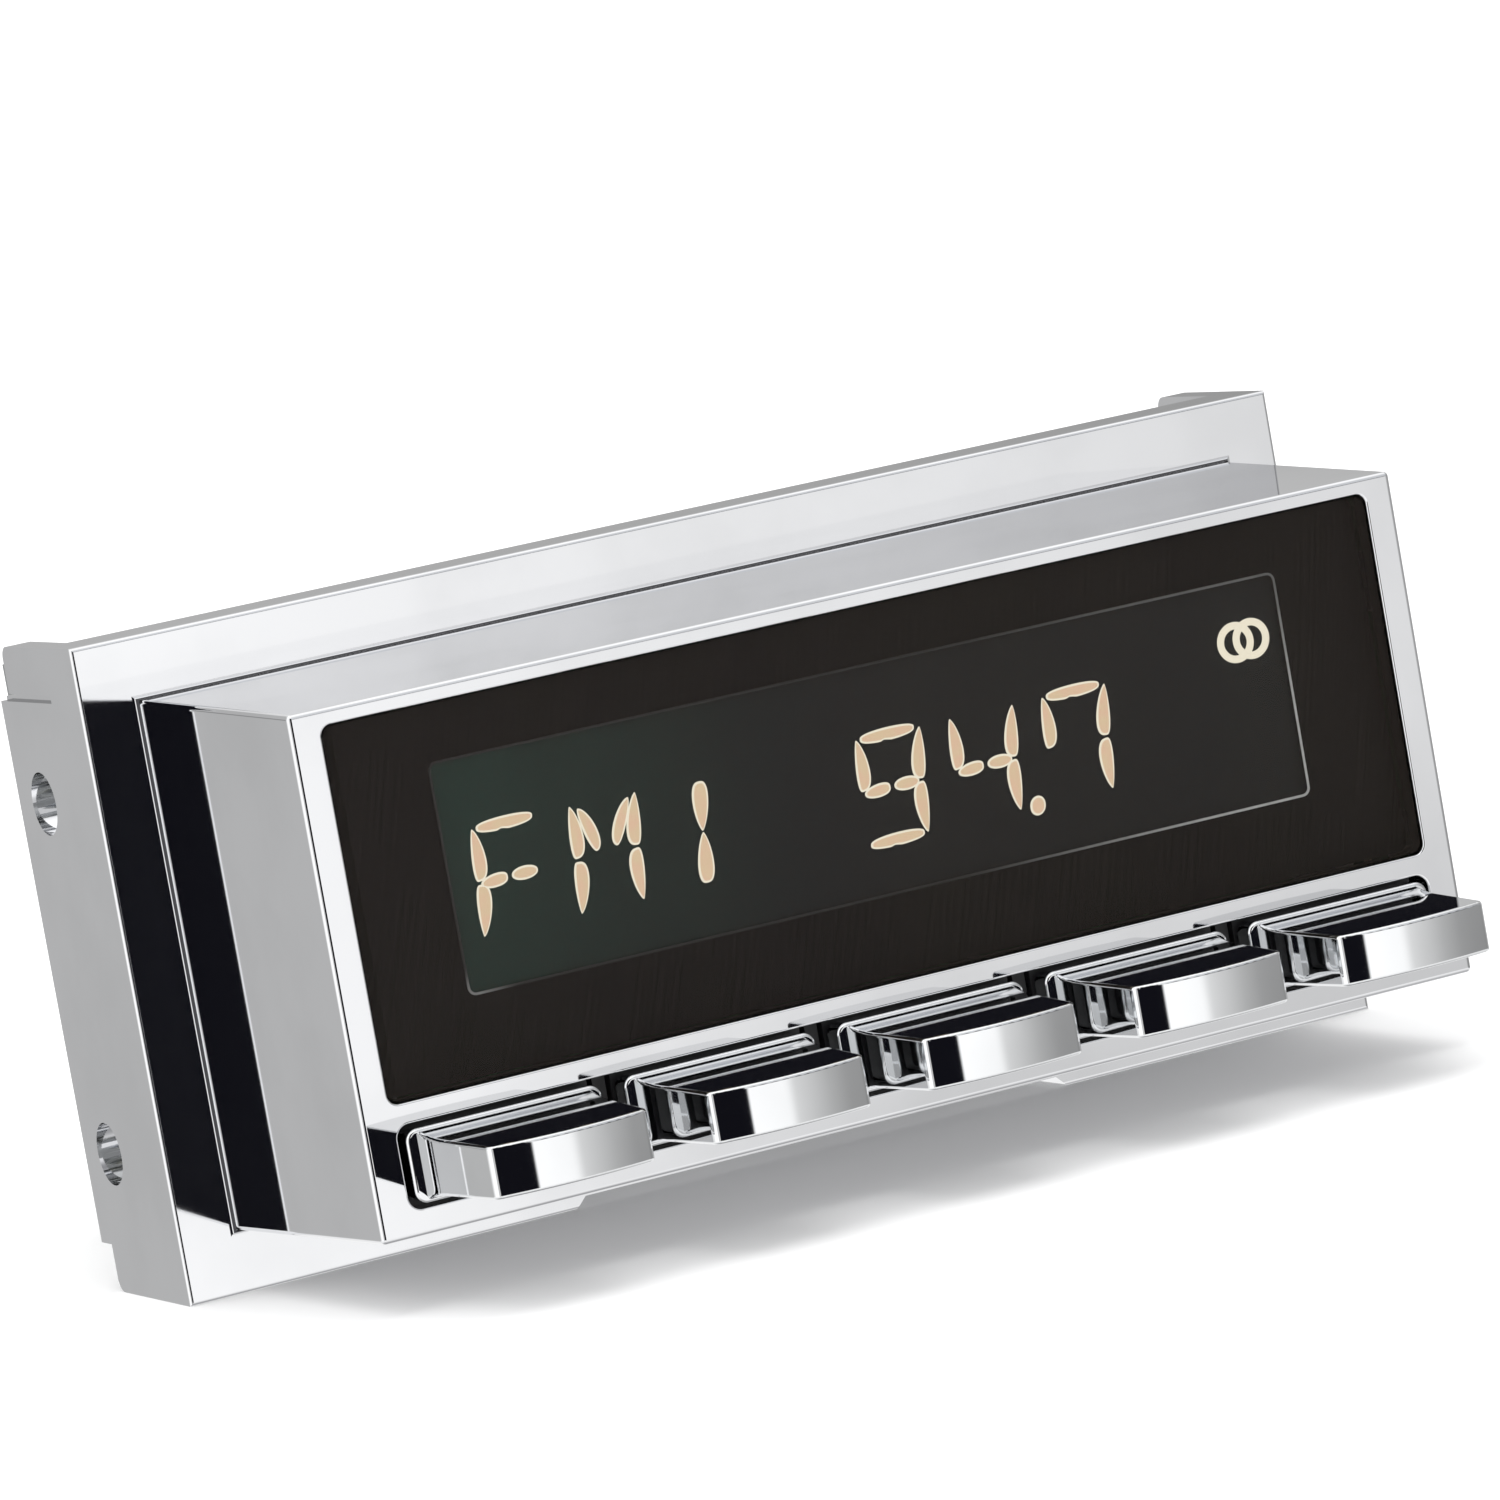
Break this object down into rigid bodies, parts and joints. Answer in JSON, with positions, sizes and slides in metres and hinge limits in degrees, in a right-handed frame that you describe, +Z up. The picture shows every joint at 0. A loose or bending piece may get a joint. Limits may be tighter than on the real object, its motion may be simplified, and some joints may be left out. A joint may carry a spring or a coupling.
{
  "type": "car radio",
  "caption": "Chrome car radio head with a smoked digital display window, a row of push buttons, side mounting ears and a shallow rear housing.",
  "frame": {"origin": "bottom centre of the radio's outer box, level with the lower edge of the face plate", "axes": "+X to the right as the driver sees it, +Y to the rear of the dashboard, +Z up"},
  "size_m": [0.1204, 0.106, 0.0586],
  "materials": {
    "aluminium": "extruded",
    "black_mask": "printed black",
    "black_plastic": "moulded black",
    "board_laminate": "solder mask",
    "brass": "turned",
    "capacitor_sleeve": "shrink sleeve",
    "chip_epoxy": "moulded epoxy",
    "choke_iron": "laminated core",
    "chrome_bezel": "polished chrome",
    "chrome_button": "chrome-plated plastic",
    "chrome_casting": "polished chrome",
    "contact_rubber": "silicone",
    "fuse_plastic": "tinted",
    "header_plastic": "natural nylon",
    "lamp_resin": "lamp resin",
    "lcd_glass": "glass cell",
    "nickel_plate": "nickel plated",
    "plated_steel": "zinc-plated sheet",
    "plunger_plastic": "moulded black",
    "ribbon_grey": "soft vinyl",
    "smoked_lens": "smoked acrylic",
    "spring_steel": "drawn wire",
    "switch_plastic": "matte black",
    "tinned_pins": "tin plated",
    "tinned_steel": "tinned sheet",
    "white_plastic": "matte white",
    "zinc_screws": "zinc plated"
  },
  "bodies": {
    "head": {"aerial_contact": "brass", "aerial_insulator": "white_plastic", "aerial_jack": "nickel_plate", "amplifier_chip": "chip_epoxy", "backlight_leds": "lamp_resin", "bezel_screws": "zinc_screws", "blade_fuse": "fuse_plastic", "button_guide": "black_plastic", "capacitors": "capacitor_sleeve", "chassis_frame": "chrome_casting", "control_chip": "chip_epoxy", "cover_screws": "zinc_screws", "display_lens": "smoked_lens", "front_board": "board_laminate", "front_board_screws": "zinc_screws", "front_header": "header_plastic", "front_standoffs": "brass", "fuse_holder": "black_plastic", "harness_pins": "tinned_pins", "harness_socket": "black_plastic", "heat_sink": "aluminium", "housing_screws": "zinc_screws", "key_switches": "switch_plastic", "lcd_contact_strip": "contact_rubber", "lcd_panel": "lcd_glass", "light_diffuser": "white_plastic", "light_reflector": "white_plastic", "main_board": "board_laminate", "main_board_screws": "zinc_screws", "main_board_standoffs": "brass", "main_header": "header_plastic", "nose_bezel": "chrome_bezel", "rear_cover": "plated_steel", "rear_housing": "plated_steel", "return_spring_1": "spring_steel", "return_spring_2": "spring_steel", "return_spring_3": "spring_steel", "return_spring_4": "spring_steel", "return_spring_5": "spring_steel", "ribbon_cable": "ribbon_grey", "supply_choke": "choke_iron", "tuner_can": "tinned_steel", "window_mask": "black_mask"},
    "button_1": {"button_cap_1": "chrome_button", "button_plunger_1": "plunger_plastic"},
    "button_2": {"button_cap_2": "chrome_button", "button_plunger_2": "plunger_plastic"},
    "button_3": {"button_cap_3": "chrome_button", "button_plunger_3": "plunger_plastic"},
    "button_4": {"button_cap_4": "chrome_button", "button_plunger_4": "plunger_plastic"},
    "button_5": {"button_cap_5": "chrome_button", "button_plunger_5": "plunger_plastic"}
  },
  "joints": [
    {"name": "button_1_press", "type": "slide", "parent": "head", "child": "button_1", "axis": [0, 1, 0], "range_m": [0, 0.0015], "stiffness_N_per_m": 450, "springref_m": -0.0015, "deforming": ["return_spring_1"]},
    {"name": "button_2_press", "type": "slide", "parent": "head", "child": "button_2", "axis": [0, 1, 0], "range_m": [0, 0.0015], "stiffness_N_per_m": 450, "springref_m": -0.0015, "deforming": ["return_spring_2"]},
    {"name": "button_3_press", "type": "slide", "parent": "head", "child": "button_3", "axis": [0, 1, 0], "range_m": [0, 0.0015], "stiffness_N_per_m": 450, "springref_m": -0.0015, "deforming": ["return_spring_3"]},
    {"name": "button_4_press", "type": "slide", "parent": "head", "child": "button_4", "axis": [0, 1, 0], "range_m": [0, 0.0015], "stiffness_N_per_m": 450, "springref_m": -0.0015, "deforming": ["return_spring_4"]},
    {"name": "button_5_press", "type": "slide", "parent": "head", "child": "button_5", "axis": [0, 1, 0], "range_m": [0, 0.0015], "stiffness_N_per_m": 450, "springref_m": -0.0015, "deforming": ["return_spring_5"]}
  ]
}
